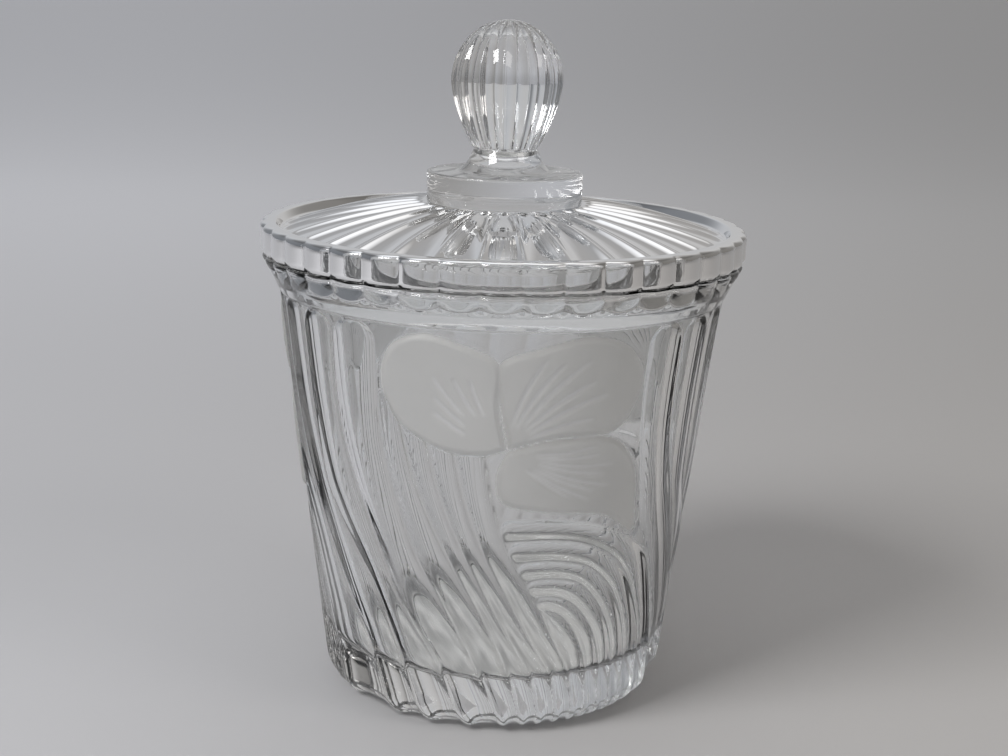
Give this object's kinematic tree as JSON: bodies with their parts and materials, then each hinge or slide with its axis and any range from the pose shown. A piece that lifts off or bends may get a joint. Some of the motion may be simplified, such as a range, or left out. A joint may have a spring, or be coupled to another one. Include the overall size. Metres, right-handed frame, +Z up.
{
  "type": "biscuit jar",
  "caption": "Round clear pressed-glass biscuit jar with swept flutes, satin petals, a scalloped rim, a lift-off domed lid and a fluted ball knob.",
  "frame": {"origin": "middle of the circle that the jar stands on, on the table", "axes": "+Z up along the axis of the jar and lid, -Y towards the front, where one of the three flowers is, +X to the right"},
  "size_m": [0.156, 0.156, 0.2174],
  "materials": {
    "crystal_jar": "fire-polished clear crystal with satin petals",
    "crystal_lid": "fire-polished clear crystal",
    "crystal_knob": "fire-polished clear crystal"
  },
  "bodies": {
    "jar_body": {"jar": "crystal_jar"},
    "lid_body": {"lid": "crystal_lid", "knob": "crystal_knob"}
  },
  "joints": [
    {"name": "lid_lift", "type": "slide", "parent": "jar_body", "child": "lid_body", "axis": [0, 0, 1], "range_m": [0, 0.08]}
  ]
}
